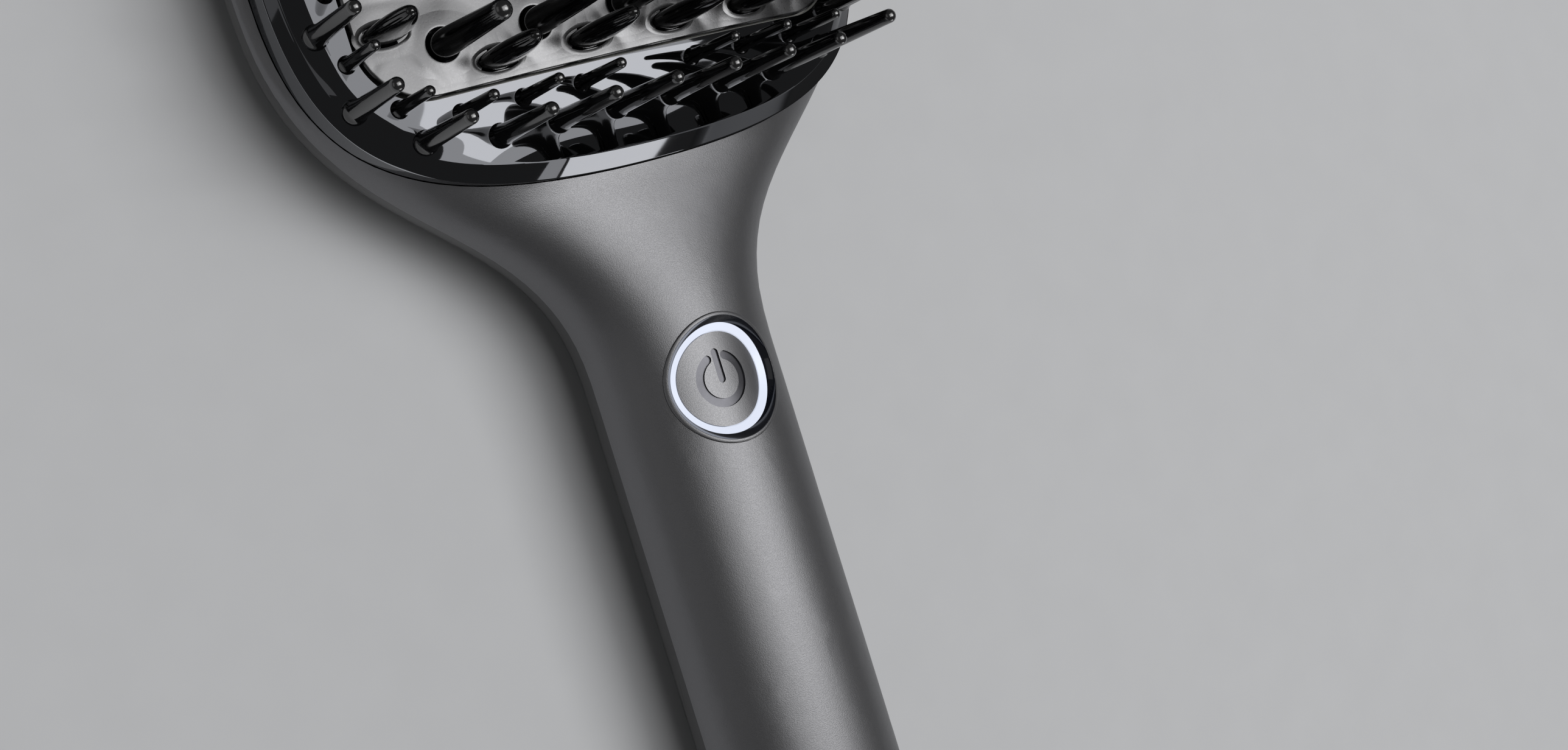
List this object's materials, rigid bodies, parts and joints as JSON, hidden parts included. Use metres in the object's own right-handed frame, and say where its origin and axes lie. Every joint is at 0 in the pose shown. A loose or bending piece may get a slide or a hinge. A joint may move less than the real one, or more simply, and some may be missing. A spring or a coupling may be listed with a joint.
{
  "type": "steam hair straightener brush",
  "caption": "Paddle brush that heats and steams: a silver tooth plate set in a crowned mirror face with ball-tipped pins, on a slim matte handle with a lit round power button.",
  "frame": {"origin": "middle of the brush's bounding box, on the surface it rests on with its back down", "axes": "+X across the brush, +Y from the cord end to the head's crown, +Z out of the back, the way the bristles point"},
  "size_m": [0.0962, 0.2772, 0.045],
  "materials": {
    "shell_matte": "matte anthracite plastic with a fine leathery grain",
    "shell_gloss": "polished black plastic",
    "mirror_face": "dark mirror chrome plating",
    "satin_plate": "satin silver, finely blasted",
    "bristle_black": "glossy black heat-resistant plastic",
    "ring_gloss": "dark glossy plastic bevel",
    "ring_light": "translucent diffuser glowing cool white",
    "button_matte": "matte dark grey plastic",
    "heater_ceramic": "ceramic heater bars, off-white",
    "cast_alloy": "cast light alloy",
    "white_resin": "white heat-resistant resin",
    "dark_resin": "dark engineering resin",
    "tank_clear": "cloudy moulded plastic",
    "silicone": "pale silicone rubber",
    "circuit_green": "green solder-masked board",
    "led_white": "white light bodies",
    "fuse_metal": "plain metal case",
    "screw_steel": "zinc-plated steel"
  },
  "bodies": {
    "housing": {"front_housing": "shell_matte", "back_housing": "shell_gloss", "face_bezel": "mirror_face", "heater_plate": "satin_plate", "heater_frame": "white_resin", "heater_bars": "heater_ceramic", "steam_manifold": "cast_alloy", "steam_chamber": "cast_alloy", "insulation_sheet": "white_resin", "round_teeth": "bristle_black", "fin_teeth": "bristle_black", "outer_pins": "bristle_black", "inner_pins": "bristle_black", "water_tank": "tank_clear", "water_pump": "dark_resin", "feed_tube": "silicone", "suction_tube": "silicone", "thermal_fuse": "fuse_metal", "temperature_sensor": "fuse_metal", "control_board": "circuit_green", "power_module": "dark_resin", "mains_terminals": "white_resin", "tact_switch": "dark_resin", "ring_leds": "led_white", "button_bezel": "ring_gloss", "light_ring": "ring_light", "upper_housing_screw": "screw_steel", "lower_housing_screw": "screw_steel", "end_cap": "shell_gloss"},
    "button": {"power_button": "button_matte", "switch_plunger": "white_resin"},
    "plug": {"filler_plug": "dark_resin", "plug_seal": "silicone"},
    "swivel": {"cord_swivel": "dark_resin", "swivel_clip": "screw_steel"}
  },
  "joints": [
    {"name": "button_press", "type": "slide", "parent": "housing", "child": "button", "axis": [0, 0, -1], "range_m": [0, 0.0006], "stiffness_N_per_m": 1500},
    {"name": "plug_pull", "type": "slide", "parent": "housing", "child": "plug", "axis": [0, 1, 0], "range_m": [0, 0.012]},
    {"name": "cord_turn", "type": "hinge", "parent": "housing", "child": "swivel", "pos_m": [0, -0.13, 0.012], "axis": [0, 1, 0], "continuous": true}
  ]
}
